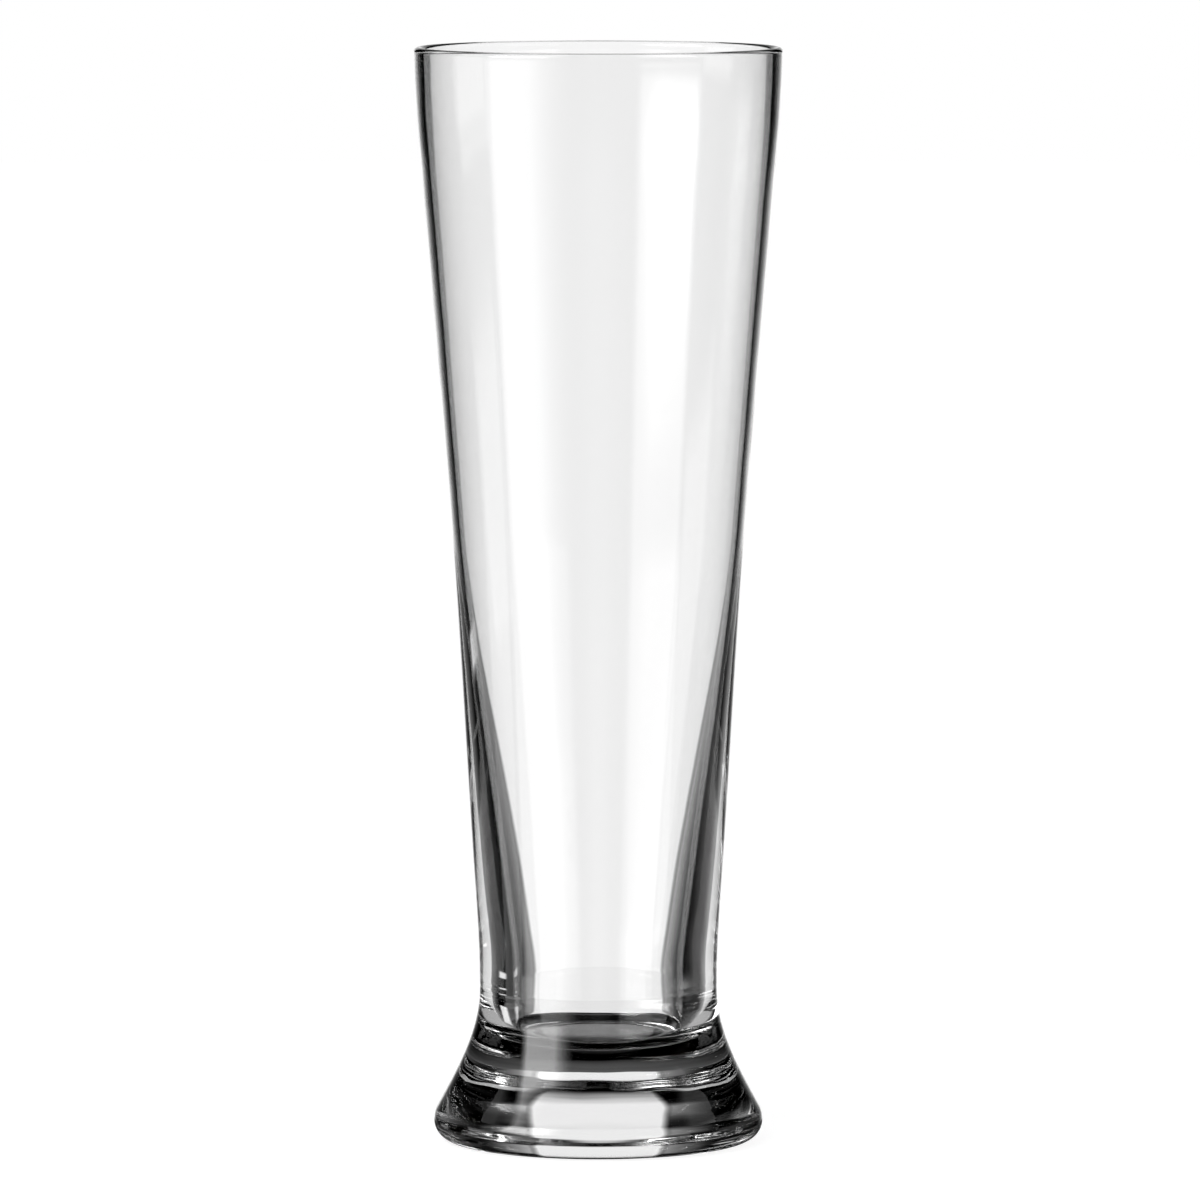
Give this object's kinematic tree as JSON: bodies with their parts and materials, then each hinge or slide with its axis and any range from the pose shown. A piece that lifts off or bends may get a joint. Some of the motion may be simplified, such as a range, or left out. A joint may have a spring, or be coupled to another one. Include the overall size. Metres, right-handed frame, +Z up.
{
  "type": "pilsner glass",
  "caption": "Tall clear pilsner glass: tapered blown bowl with a rounded lip, narrowing to a waist and welded to a thick flared pressed foot.",
  "frame": {"origin": "on the glass's axis, in the plane of the bearing ring that it stands on", "axes": "+Z up along the glass's axis, from the foot to the rim; X and Y are any two directions across it"},
  "size_m": [0.0724, 0.0724, 0.216],
  "materials": {
    "blown_glass": "clear blown soda-lime glass, fire-polished",
    "pressed_glass": "clear pressed soda-lime glass, fire-polished, with faint chill ripples"
  },
  "bodies": {
    "root": {"bowl": "blown_glass", "foot": "pressed_glass"}
  },
  "joints": []
}
